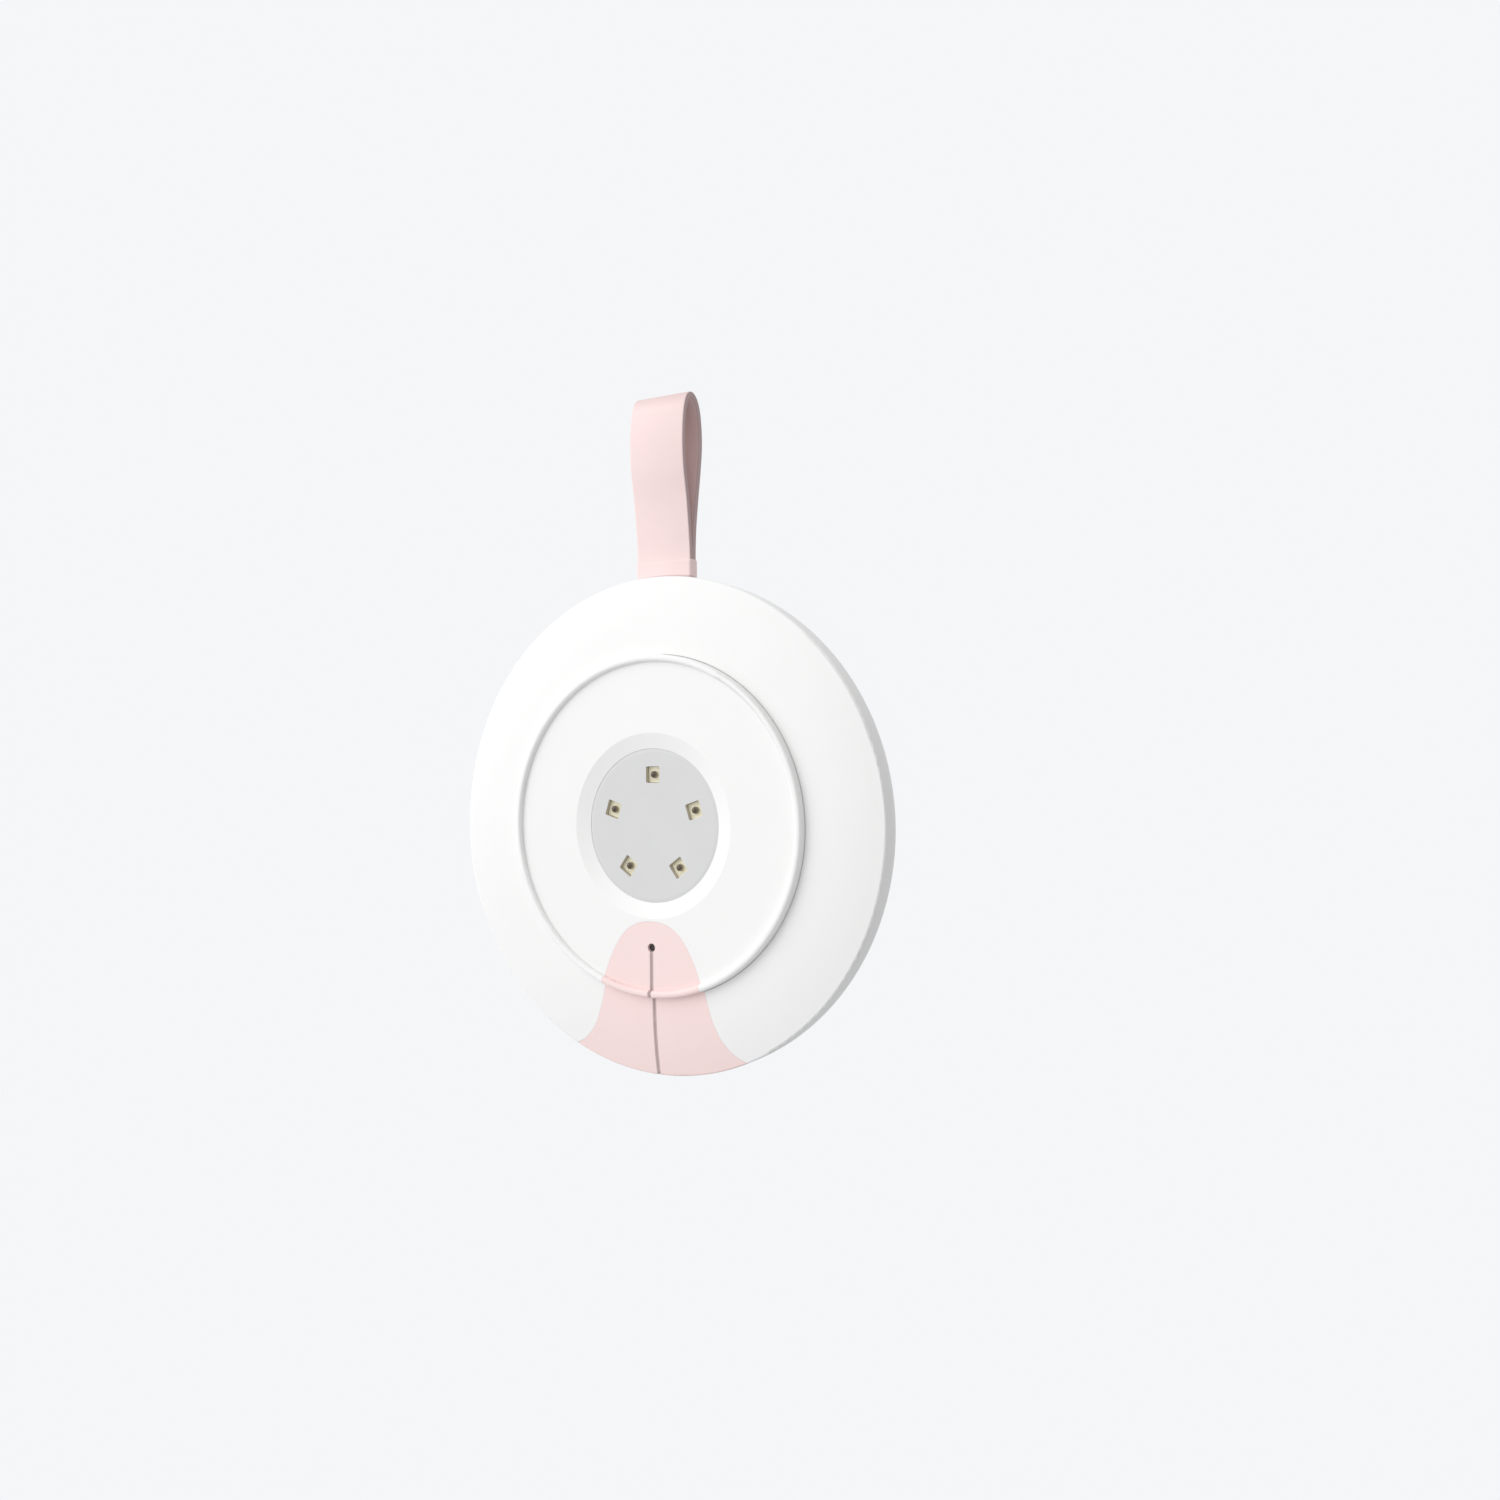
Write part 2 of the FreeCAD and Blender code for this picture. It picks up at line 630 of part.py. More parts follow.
def screw_group(places, *sizes):
    return Part.makeCompound([pan_screw(*sizes, x, z) for x, z in places])


def spreader_screws():
    return screw_group(ring_places(CLAMP_CIRCLE_R, CORNERS),
                       SPREADER_BACK_Y, CLAMP_LENGTH, CLAMP_SHANK_R, CLAMP_HEAD_R, CLAMP_HEAD_H)


def board_screws():
    return screw_group(STANDOFF_AT + BOARD_BOSS_AT,
                       BOARD_BACK_Y, BOARD_SCREW_LENGTH, BOARD_SCREW_R, BOARD_HEAD_R, BOARD_HEAD_H)


def housing_screws():
    return screw_group(ring_places(HOUSING_CIRCLE_R, CORNERS),
                       HOUSING_SEAT_Y, HOUSING_LENGTH, HOUSING_SHANK_R, HOUSING_HEAD_R, HOUSING_HEAD_H)


def board_standoffs():
    pieces = []
    for x, z in STANDOFF_AT:
        post = rod(STANDOFF_R, SPREADER_BACK_Y, BOARD_Y, x, z)
        spigot = rod(STANDOFF_SPIGOT_R, SPREADER_Y, SPREADER_BACK_Y, x, z)
        bore = rod(BOARD_SCREW_R + SHANK_GAP, SPREADER_Y + SPREADER_T / 2, BOARD_Y + 1, x, z)
        pieces.append(post.fuse(spigot).cut(bore))
    return Part.makeCompound(pieces)


def rubber_feet():
    feet = []
    for x, z in ring_places(HOUSING_CIRCLE_R, CORNERS):
        end = FOOT_SEAT_Y + FOOT_H
        straight = rod(FOOT_R, FOOT_SEAT_Y, end - FOOT_BEVEL, x, z)
        tip = Part.makeCone(FOOT_R, FOOT_R - FOOT_BEVEL, FOOT_BEVEL, V(x, end - FOOT_BEVEL, z), V(0, 1, 0))
        feet.append(straight.fuse(tip))
    return Part.makeCompound(feet)


# ---- strap ----
def strap_loop():
    """Flat band round a spline, with the split between its legs closing in a notch."""
    turns = ((-STRAP_ROOT_R, 0),) + LOOP_FRONT + (LOOP_TOP,) + LOOP_BACK + ((STRAP_ROOT_R, 0),)
    points = [V(0, STRAP_Y + y, STRAP_ROOT_Z + height) for y, height in turns]
    curve = Part.BSplineCurve()
    curve.interpolate(points)
    root = Part.Arc(points[-1], V(0, STRAP_Y, STRAP_ROOT_Z - STRAP_ROOT_R), points[0])
    band = Part.Face(Part.Wire([curve.toShape(), root.toShape()]))
    inner = []
    for point in points[1:-1]:
        along = curve.tangent(curve.parameter(point))[0]
        inner.append(point + V(0, along.z, -along.y) * STRAP_T)
    inner_curve = Part.BSplineCurve()
    inner_curve.interpolate(inner)
    notch = Part.makePolygon([inner[-1], V(0, STRAP_Y, LOOP_SPLIT_Z), inner[0]]).Edges
    hollow = Part.Face(Part.Wire([inner_curve.toShape()] + notch))
    loop = band.cut(hollow).extrude(V(STRAP_W, 0, 0))
    loop.translate(V(-STRAP_W / 2, 0, 0))
    return loop


def strap_anchor():
    """Collar on the rim, neck through the wall, and a tab held on a post inside."""
    collar = block(COLLAR_W, STRAP_Y - COLLAR_T / 2, STRAP_Y + COLLAR_T / 2, BODY_R - WALL, COLLAR_TOP_Z)
    collar = collar.makeFillet(COLLAR_ROUND, edges_along(collar, V(0, 0, 1)))
    collar = collar.cut(behind_skin(0))
    neck = block(NECK_W, STRAP_Y - NECK_T / 2, STRAP_Y + NECK_T / 2, BODY_R - TAB_LENGTH, BODY_R + 1)
    inside_r = back_point(WALL, back_angle(WALL, LAP_Y))[0]
    shoulder_top = math.sqrt(inside_r ** 2 - (SHOULDER_W / 2) ** 2) - SHOULDER_GAP
    shoulder = block(SHOULDER_W, LAP_Y - SHOULDER_T, LAP_Y, shoulder_top - SHOULDER_H, shoulder_top)
    anchor = joined(collar, [neck, shoulder])
    return anchor.cut(rod(POST_R + POST_GAP, 0, PARTING_Y, 0, POST_Z))


# ---- main board and what is on it ----
def main_board():
    half = BOARD_W / 2
    nose = BOARD_NOSE_W / 2
    corners = ((-half, BOARD_TOP_Z), (half, BOARD_TOP_Z), (half, BOARD_SHOULDER_Z), (nose, BOARD_NOSE_Z),
               (-nose, BOARD_NOSE_Z), (-half, BOARD_SHOULDER_Z), (-half, BOARD_TOP_Z))
    face = Part.Face(Part.makePolygon([V(x, BOARD_Y, z) for x, z in corners]))
    board = face.extrude(V(0, BOARD_T, 0))
    holes = STANDOFF_AT + BOARD_BOSS_AT
    cutters = [rod(BOARD_SCREW_R + THROUGH_GAP, BOARD_Y - 1, BOARD_BACK_Y + 1, x, z) for x, z in holes]
    return without(board, cutters)


def on_board(width, height, length, x, z):
    return block(width, BOARD_BACK_Y, BOARD_BACK_Y + height, z - length / 2, z + length / 2, x)


def charger_chip():
    return on_board(*CHARGER_CHIP)


def control_chip():
    return on_board(*CONTROL_CHIP)


def driver_inductor():
    coil = on_board(*INDUCTOR)
    return coil.makeFillet(COIL_ROUND, edges_along(coil, V(0, 1, 0)))


def board_capacitors():
    return Part.makeCompound([on_board(*CAPACITOR, x, z) for x, z in CAPACITORS_AT])


def tact_switch():
    body = on_board(SWITCH_W, SWITCH_H, SWITCH_W, 0.0, 0.0)
    return body.cut(rod(PLUNGER_R + PLUNGER_GAP, SWITCH_TOP_Y - SWITCH_BORE_DEPTH, SWITCH_TOP_Y + 1))


def switch_plunger():
    return rod(PLUNGER_R, SWITCH_TOP_Y - PLUNGER_ENTRY, BUTTON_FLANGE_Y)


def power_button():
    flange_end = BUTTON_FLANGE_Y + BUTTON_FLANGE_T
    edge = BUTTON_CROWN_Y
    steps = [
        (BUTTON_FLANGE_R, BUTTON_FLANGE_Y),
        (BUTTON_FLANGE_R, flange_end),
        (BUTTON_R, flange_end),
        (BUTTON_R, edge - RIM_ROUND),
        ((BUTTON_R - RIM_ROUND * (1 - HALF_ROOT), edge - RIM_ROUND * (1 - HALF_ROOT)),
         (BUTTON_R - RIM_ROUND, edge)),
        crown(BUTTON_R - RIM_ROUND, edge, edge - BUTTON_DISH),
    ]
    return turned((0, BUTTON_FLANGE_Y), steps)


def usb_socket_shell():
    low = -BODY_R + INLET_INSET
    tube = inlet_profile(0, low, INLET_LENGTH)
    inside = inlet_profile(-INLET_WALL, low - 1, INLET_LENGTH + 1 - INLET_WALL)
    return tube.cut(inside)


def usb_socket_insert():
    back_end = -BODY_R + INLET_INSET + INLET_LENGTH - INLET_WALL
    return block(INLET_TONGUE_W, INLET_Y - INLET_TONGUE_T / 2, INLET_Y + INLET_TONGUE_T / 2,
                 back_end - INLET_TONGUE_LENGTH, back_end)


def charge_led():
    return on_board(CHARGE_LED_W, CHARGE_LED_H, CHARGE_LED_L, 0.0, CHARGE_Z)


def charge_light_pipe():
    start = BOARD_BACK_Y + CHARGE_LED_H + GUIDE_GAP
    end = BACK_Y - BACK_CROWN * (CHARGE_Z / BACK_R) ** 2
    stem = rod(PIPE_R, start, end, 0, CHARGE_Z)
    return stem.fuse(rod(PIPE_FLANGE_R, BACK_INSIDE_Y - PIPE_FLANGE_T, BACK_INSIDE_Y, 0, CHARGE_Z))


def presence_sensor():
    return block(SENSOR_W, BOARD_Y - SENSOR_H, BOARD_Y, EYE_Z - SENSOR_L / 2, EYE_Z + SENSOR_L / 2)


def sensor_light_guide():
    stem = rod(GUIDE_R, FACE_Y + GUIDE_INSET, BOARD_Y - SENSOR_H - GUIDE_GAP, 0, EYE_Z)
    return stem.fuse(rod(GUIDE_FLANGE_R, PANEL_BACK_Y, PANEL_BACK_Y + GUIDE_FLANGE_T, 0, EYE_Z))


# ---- battery and wires ----
def battery():
    high = BACK_INSIDE_Y - TAPE_T
    cell = block(BATTERY_W, high - BATTERY_T, high, BATTERY_LOW_Z, BATTERY_LOW_Z + BATTERY_L)
    return cell.makeFillet(BATTERY_ROUND, edges_along(cell, V(0, 0, 1)))


def battery_tape():
    high = BACK_INSIDE_Y
    return block(BATTERY_W - 2 * TAPE_MARGIN, high - TAPE_T, high,
                 BATTERY_LOW_Z + TAPE_MARGIN, BATTERY_LOW_Z + BATTERY_L - TAPE_MARGIN)


def battery_lead(x):
    """From the battery's lower edge along -Z, then one bend down onto the board."""
    y = BACK_INSIDE_Y - TAPE_T - WIRE_R - WIRE_INSET
    start = V(x, y, BATTERY_LOW_Z)
    before = V(x, y, BATTERY_WIRE_Z + WIRE_BEND_R)
    after = V(x, y - WIRE_BEND_R, BATTERY_WIRE_Z)
    middle = V(x, y - WIRE_BEND_R * (1 - HALF_ROOT), BATTERY_WIRE_Z + WIRE_BEND_R * (1 - HALF_ROOT))
    end = V(x, BOARD_BACK_Y, BATTERY_WIRE_Z)
    path = Part.Wire([Part.makeLine(start, before), Part.Arc(before, middle, after).toShape(),
                      Part.makeLine(after, end)])
    section = Part.Wire(Part.makeCircle(WIRE_R, start, V(0, 0, -1)))
    return path.makePipeShell([section], True, False)


def led_lead(x):
    """From the LED board straight through the spreader to the main board."""
    return rod(WIRE_R, PAD_Y, BOARD_Y, x, LED_WIRE_Z)


PIECES = {
    "strap_loop": strap_loop,
    "strap_anchor": strap_anchor,
    "front_cover": front_cover,
    "rear_cover": rear_cover,
    "face_panel": face_panel,
    "front_tongue": front_tongue,
    "reflector_plate": reflector_plate,
    "led_board": led_board,
    "thermal_pad": thermal_pad,
    "heat_spreader": heat_spreader,
    "spreader_screws": spreader_screws,
    "board_standoffs": board_standoffs,
    "main_board": main_board,
    "board_screws": board_screws,
    "charger_chip": charger_chip,
    "control_chip": control_chip,
    "driver_inductor": driver_inductor,
    "board_capacitors": board_capacitors,
    "tact_switch": tact_switch,
    "switch_plunger": switch_plunger,
    "power_button": power_button,
    "usb_socket_shell": usb_socket_shell,
    "usb_socket_insert": usb_socket_insert,
    "charge_led": charge_led,
    "charge_light_pipe": charge_light_pipe,
    "presence_sensor": presence_sensor,
    "sensor_light_guide": sensor_light_guide,
    "battery": battery,
    "battery_tape": battery_tape,
    "battery_lead_red": lambda: battery_lead(-BATTERY_WIRE_X),
    "battery_lead_black": lambda: battery_lead(BATTERY_WIRE_X),
    "led_lead_red": lambda: led_lead(-LED_WIRE_X),
    "led_lead_black": lambda: led_lead(LED_WIRE_X),
    "housing_screws": housing_screws,
    "rubber_feet": rubber_feet,
}
for index, angle in enumerate(led_angles(), start=1):
    PIECES[f"led_package_{index}"] = lambda turn=angle: led_package(turn)
    PIECES[f"led_window_{index}"] = lambda turn=angle: led_window(turn)

os.makedirs("parts", exist_ok=True)
for node, make in PIECES.items():
    shape = make()
    shape.translate(V(0, 0, 0) - HANG_POINT)
    shape.exportStep(f"parts/{node}.step")
    print(node, len(shape.Solids), round(shape.Volume, 1), shape.isValid())
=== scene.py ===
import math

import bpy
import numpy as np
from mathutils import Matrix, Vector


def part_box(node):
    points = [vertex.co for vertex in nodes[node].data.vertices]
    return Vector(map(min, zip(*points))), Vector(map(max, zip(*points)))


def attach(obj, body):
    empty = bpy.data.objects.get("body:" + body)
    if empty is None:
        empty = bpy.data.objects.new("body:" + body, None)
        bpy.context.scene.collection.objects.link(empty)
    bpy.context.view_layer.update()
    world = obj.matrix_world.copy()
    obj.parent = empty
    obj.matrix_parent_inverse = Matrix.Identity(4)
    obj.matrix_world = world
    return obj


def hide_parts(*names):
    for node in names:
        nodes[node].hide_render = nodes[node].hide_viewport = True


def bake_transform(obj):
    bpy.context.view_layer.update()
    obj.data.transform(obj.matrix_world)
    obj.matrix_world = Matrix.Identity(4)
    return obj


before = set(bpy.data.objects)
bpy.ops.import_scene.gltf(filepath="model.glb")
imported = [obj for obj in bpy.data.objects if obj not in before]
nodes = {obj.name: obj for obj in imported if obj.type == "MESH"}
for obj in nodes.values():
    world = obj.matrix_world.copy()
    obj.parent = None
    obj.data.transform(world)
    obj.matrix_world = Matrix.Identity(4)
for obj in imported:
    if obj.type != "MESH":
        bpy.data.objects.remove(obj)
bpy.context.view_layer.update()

# %% [markdown]
# # A rechargeable disc lamp on a silicone loop
#
# This lesson dresses a small lamp that cures gel nails. The solid pieces come in already made, each
# in its place, so the work here is finish, light and camera, and a few soft or very fine pieces
# that are better shaped here: the strap and its collar, the five LEDs, the button and the feet.
# The lamp is a disc that hangs from its strap, with its lit face towards -Y.

# %% [markdown]
# ## Where things are
#
# Everything is measured from the disc's centre, in millimetres, because that is how a maker would
# draw it: x to the right, y from the face to the back, z up. The front cover's box gives the
# centre and the level of its front edge, so nothing here is placed by eye.

# %% Drawing frame
cover_low, cover_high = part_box("front_cover")
DOME_EDGE_Y = 1.3  # mm from the drawing's zero level back to the cover's front edge
CENTRE = Vector((0, cover_low.y - DOME_EDGE_Y / 1000, (cover_low.z + cover_high.z) / 2))
BODY_R = 500 * (cover_high.x - cover_low.x)


def at(x, y, z):
    """A point of the drawing, in metres in the lamp's own frame."""
    return CENTRE + Vector((x, y, z)) / 1000


def drawn(node):
    """A solid piece's lowest and highest corner in the drawing, in millimetres."""
    return [1000 * (corner - CENTRE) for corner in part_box(node)]


print("disc radius, mm:", round(BODY_R, 2), "centre:", [round(value, 4) for value in CENTRE])

# %% [markdown]
# ## Finishes
#
# A moulded part is never one flat colour: the mould is sparked to a fine grain, the surface waves
# a little where the plastic shrank, and gloss changes with handling. The helper below builds
# that for any finish: a noise for the colour, one for the gloss, and one or two for the grain. All
# sizes in it are lengths in millimetres, so a finish keeps its scale on a large or a small piece.

# %% A helper for moulded finishes
BLOTCH, GLOSS_PATCH, SWELL = 9, 3.5, 14  # mm between spots of colour, of gloss, and between swells
BUMP_SHARE, SWELL_SHARE = 0.6, 0.5  # strength of the grain's bump and of the swell's
SMOOTHEST = 0.02  # the least roughness


def finish(name, colour, rough=0.4, grain=0.25, relief=0.004, drift=0.04, wave=0.0, spread=0.06,
           **sockets):
    """Principled finish; grain and relief are the size and height of its texture in millimetres.

    drift is how far the colour strays, spread how far the gloss does, wave the height of a swell.
    """
    material = bpy.data.materials.new(name)
    material.use_nodes = True
    tree = material.node_tree
    shader = tree.nodes["Principled BSDF"]
    place = tree.nodes.new("ShaderNodeTexCoord")

    def noise(size, detail=3.0):
        node = tree.nodes.new("ShaderNodeTexNoise")
        node.inputs["Scale"].default_value = 1000 / size
        node.inputs["Detail"].default_value = detail
        tree.links.new(place.outputs["Object"], node.inputs["Vector"])
        return node

    ramp = tree.nodes.new("ShaderNodeValToRGB")
    darker, lighter = ramp.color_ramp.elements
    darker.position, lighter.position = 0.3, 0.7
    darker.color = [value * (1 - drift) for value in colour] + [1]
    lighter.color = [min(value * (1 + drift), 1) for value in colour] + [1]
    tree.links.new(noise(BLOTCH).outputs["Fac"], ramp.inputs["Fac"])
    tree.links.new(ramp.outputs["Color"], shader.inputs["Base Color"])
    gloss = tree.nodes.new("ShaderNodeMapRange")
    gloss.inputs["To Min"].default_value = max(rough - spread, SMOOTHEST)
    gloss.inputs["To Max"].default_value = min(rough + spread, 1)
    tree.links.new(noise(GLOSS_PATCH).outputs["Fac"], gloss.inputs["Value"])
    tree.links.new(gloss.outputs["Result"], shader.inputs["Roughness"])
    bump = tree.nodes.new("ShaderNodeBump")
    bump.inputs["Distance"].default_value = relief / 1000
    bump.inputs["Strength"].default_value = BUMP_SHARE
    tree.links.new(noise(grain, 2.0).outputs["Fac"], bump.inputs["Height"])
    if wave:
        swell = tree.nodes.new("ShaderNodeBump")
        swell.inputs["Distance"].default_value = wave / 1000
        swell.inputs["Strength"].default_value = SWELL_SHARE
        tree.links.new(noise(SWELL, 1.0).outputs["Fac"], swell.inputs["Height"])
        tree.links.new(bump.outputs["Normal"], swell.inputs["Normal"])
        bump = swell
    tree.links.new(bump.outputs["Normal"], shader.inputs["Normal"])
    for socket, value in sockets.items():
        shader.inputs[socket.replace("_", " ")].default_value = value
    return material


def wear(finish_made, *names):
    """Give solid pieces a finish."""
    for name in names:
        slots = nodes[name].data.materials
        slots.clear()
        slots.append(finish_made)
    print(finish_made.name, "on", len(names), "pieces")


# %% [markdown]
# ## What each piece is made of
#
# The housing is white moulded plastic, the strap and the button are soft pink, and the plate is
# matt grey. Inside are the usual metals, a green board, black chips and a foil cell. Rough things
# get a high roughness and a taller grain, polished things a low one. The grain size is a real
# length, so a foil cell looks crinkled next to a fine moulding. The button takes its own copy of
# the pink, because a later step adds painted shade to the tongue that a button wouldn't have.

# %% Finishes of the outside
SHELL = finish("white_shell", (0.90, 0.90, 0.895), rough=0.38, grain=0.3, relief=0.002,
               drift=0.004, wave=0.006)
SILICONE = finish("pink_silicone", (0.92, 0.73, 0.715), rough=0.6, grain=0.3, relief=0.008,
                  drift=0.012)
# The lining and cut-edge mauves are partly the strap's own tone and partly painted shade.
LINING = finish("strap_lining", (0.72, 0.56, 0.545), rough=0.75, grain=0.3, relief=0.012,
                drift=0.03)
STRAP_EDGE = finish("strap_edge", (0.52, 0.385, 0.385), rough=0.7, grain=0.3, relief=0.008,
                    drift=0.03)
INLAY = finish("pink_inlay", (0.915, 0.725, 0.71), rough=0.45, grain=0.25, relief=0.002,
               drift=0.006)
CAP_PINK = INLAY.copy()
CAP_PINK.name = "button_pink"
PLATE = finish("plate_grey", (0.68, 0.68, 0.685), rough=0.55, grain=0.2, relief=0.003, drift=0.012)
CERAMIC = finish("led_ceramic", (0.94, 0.90, 0.71), rough=0.55, grain=0.08, relief=0.002)
WINDOW = finish("led_glass", (0.095, 0.07, 0.05), rough=0.14, grain=0.1, relief=0.0005, drift=0.1)

# %% Finishes of the inside and the feet
METAL_BOARD = finish("metal_board", (0.75, 0.75, 0.73), rough=0.45, grain=0.2)
PAD = finish("thermal_pad", (0.22, 0.25, 0.28), rough=0.8, grain=0.3, relief=0.01)
ALUMINIUM = finish("aluminium", (0.72, 0.73, 0.75), rough=0.32, grain=0.15, drift=0.03,
                   Metallic=1.0)
STEEL = finish("steel", (0.55, 0.55, 0.57), rough=0.28, grain=0.1, drift=0.05, Metallic=1.0)
BRASS = finish("brass", (0.72, 0.53, 0.22), rough=0.3, grain=0.1, drift=0.05, Metallic=1.0)
BOARD = finish("circuit_board", (0.03, 0.17, 0.08), rough=0.4, grain=0.2, drift=0.15)
CHIP = finish("chip_black", (0.02, 0.02, 0.022), rough=0.5, grain=0.1, drift=0.1)
TAN = finish("capacitor_tan", (0.36, 0.24, 0.13), rough=0.5, grain=0.08, drift=0.1)
PIPE = finish("light_pipe", (0.85, 0.87, 0.87), rough=0.25, grain=0.3,
              Transmission_Weight=0.7, IOR=1.49)
SMOKED = finish("smoked_pipe", (0.02, 0.012, 0.014), rough=0.2, grain=0.2)
FOIL = finish("cell_foil", (0.66, 0.67, 0.69), rough=0.35, grain=0.6, relief=0.03, Metallic=0.9)
FOAM = finish("foam_tape", (0.03, 0.03, 0.03), rough=0.9, grain=0.3, relief=0.05)
RED = finish("wire_red", (0.5, 0.02, 0.015), rough=0.45, grain=0.2)
BLACK = finish("wire_black", (0.015, 0.015, 0.015), rough=0.45, grain=0.2)
RUBBER = finish("foot_rubber", (0.62, 0.62, 0.62), rough=0.75, grain=0.25, relief=0.01)

# %% Which solid piece wears what
wear(SHELL, "front_cover", "rear_cover", "face_panel")
wear(INLAY, "front_tongue")
wear(PLATE, "reflector_plate")
wear(CERAMIC, "charge_led")
wear(METAL_BOARD, "led_board")
wear(PAD, "thermal_pad")
wear(ALUMINIUM, "heat_spreader")
wear(STEEL, "spreader_screws", "board_screws", "housing_screws", "usb_socket_shell")
wear(BRASS, "board_standoffs")
wear(BOARD, "main_board")
wear(CHIP, "charger_chip", "control_chip", "driver_inductor", "tact_switch", "switch_plunger",
     "usb_socket_insert", "presence_sensor")
wear(TAN, "board_capacitors")
wear(PIPE, "charge_light_pipe")
wear(SMOKED, "sensor_light_guide")
wear(FOIL, "battery")
wear(FOAM, "battery_tape")
wear(RED, "battery_lead_red", "led_lead_red")
wear(BLACK, "battery_lead_black", "led_lead_black")

# %% [markdown]
# ## Grooves and window walls
#
# Two places get a darker tone of their own, and both are painted shade: the tongue's slit with a
# thin band along its edges, for the shade that falls in the narrow groove, and the walls of the
# plate's windows, for the shade inside them. Dirt in a narrow slit and a plate that is only painted
# from the front would both look like this, but neither cause is known, so both tones are picked by
# eye. Each place is found by measuring: the slit lies between planes below the light guide, and the
# walls begin just behind the plate's front.

# %% Helpers that find a place
def measured(material, axis):
    """Distance along one axis inside a material, in metres."""
    tree = material.node_tree
    place, split = tree.nodes.new("ShaderNodeTexCoord"), tree.nodes.new("ShaderNodeSeparateXYZ")
    tree.links.new(place.outputs["Object"], split.inputs["Vector"])
    return split.outputs[axis]


def between(material, axis, low, high):
    """Node output that is 1 between two levels of the drawing, and 0 elsewhere."""
    band = material.node_tree.nodes.new("ShaderNodeMath")
    band.operation = "COMPARE"
    band.inputs[1].default_value = getattr(CENTRE, axis.lower()) + (low + high) / 2000
    band.inputs[2].default_value = (high - low) / 2000
    material.node_tree.links.new(measured(material, axis), band.inputs[0])
    return band.outputs["Value"]


def fading(material, axis, low, high):
    """Node output that rises from 0 to 1 between two levels of the drawing."""
    slope = material.node_tree.nodes.new("ShaderNodeMapRange")
    slope.inputs["From Min"].default_value = getattr(CENTRE, axis.lower()) + low / 1000
    slope.inputs["From Max"].default_value = getattr(CENTRE, axis.lower()) + high / 1000
    material.node_tree.links.new(measured(material, axis), slope.inputs["Value"])
    return slope.outputs["Result"]


# %% A helper that lays a second colour there
def mix_in(material, colour, share):
    """Put a second colour over a finish, by the share that a node gives."""
    tree = material.node_tree
    base = tree.nodes["Principled BSDF"].inputs["Base Color"]
    mix = tree.nodes.new("ShaderNodeMix")
    mix.data_type = "RGBA"
    tree.links.new(share, mix.inputs["Factor"])
    under, over, mixed = mix.inputs[6], mix.inputs[7], mix.outputs[2]  # a mix's colour sockets
    tree.links.new(base.links[0].from_socket, under)
    over.default_value = (*colour, 1)
    tree.links.new(mixed, base)


# %% Slit and window walls
guide_low, guide_high = drawn("sensor_light_guide")
plate_low, plate_high = drawn("reflector_plate")
EYE_Z = (guide_low.z + guide_high.z) / 2
# Painted shade: darker tones in the tongue's slit and in a thin band along its edges.
SLIT_HALF, EDGE_SHADE_HALF = 0.352, 0.5
EDGE_SHADE_TONE, SLIT_SHADE_TONE, WALL_SHADE_TONE = (0.56, 0.45, 0.45), (0.82, 0.71, 0.70), (0.63, 0.58, 0.49)
WALL_START = 0.1  # mm behind the plate's front
for half, tone in ((EDGE_SHADE_HALF, EDGE_SHADE_TONE), (SLIT_HALF, SLIT_SHADE_TONE)):
    in_slit = INLAY.node_tree.nodes.new("ShaderNodeMath")
    in_slit.operation = "MULTIPLY"
    INLAY.node_tree.links.new(between(INLAY, "X", -half, half), in_slit.inputs[0])
    INLAY.node_tree.links.new(between(INLAY, "Z", -2 * BODY_R, EYE_Z), in_slit.inputs[1])
    mix_in(INLAY, tone, in_slit.outputs["Value"])
# Painted shade on the walls of the plate's windows, behind its front.
mix_in(PLATE, WALL_SHADE_TONE,
       between(PLATE, "Y", plate_low.y + WALL_START, plate_high.y + WALL_START))
print("slit below z", round(EYE_Z, 2), "walls behind y", round(plate_low.y + WALL_START, 2))

# %% [markdown]
# ## Shaping by rings
#
# A strap, a foot, a button and an LED package are all the same kind of shape to a modeller: a
# closed outline that moves and changes as it goes. So one helper joins a row of outlines into a
# closed skin, and two small ones draw the outlines: a rectangle with rounded corners and a circle.
# Real edges that show are never quite sharp, so the rows take a few small steps round them.

# %% Helpers that draw outlines
def rounded_box(width, height, radius, steps=4):
    """Outline of a rectangle with rounded corners, as points (u, v) about its middle."""
    outline = []
    for turn, (right, up) in enumerate(((1, 1), (-1, 1), (-1, -1), (1, -1))):
        for step in range(steps + 1):
            angle = math.radians(90 * (turn + step / steps))
            u = right * (width / 2 - radius) + radius * math.cos(angle)
            v = up * (height / 2 - radius) + radius * math.sin(angle)
            outline.append((u, v))
    return outline


def circle(radius, steps):
    """Outline of a circle, as points (u, v) about its middle."""
    turns = [2 * math.pi * step / steps for step in range(steps)]
    return [(radius * math.cos(turn), radius * math.sin(turn)) for turn in turns]


# %% A helper that joins rings
def skin(name, rings, finish_made, body=None, smooth=40):
    """Closed mesh through a row of rings, each a list of points of the drawing."""
    count = len(rings[0])
    places = [at(*point) for ring in rings for point in ring]
    faces = [tuple(range(count))[::-1], tuple(range(len(places) - count, len(places)))]
    for row in range(len(rings) - 1):
        for column in range(count):
            here, beside = row * count + column, row * count + (column + 1) % count
            faces.append((here, beside, beside + count, here + count))
    mesh = bpy.data.meshes.new(name)
    mesh.from_pydata(places, [], faces)
    mesh.validate()
    mesh.polygons.foreach_set("use_smooth", [True] * len(mesh.polygons))
    mesh.set_sharp_from_angle(angle=math.radians(smooth))
    mesh.materials.append(finish_made)
    piece = bpy.data.objects.new(name, mesh)
    bpy.context.scene.collection.objects.link(piece)
    if body:
        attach(piece, body)
    print(name, "faces:", len(faces))
    return piece


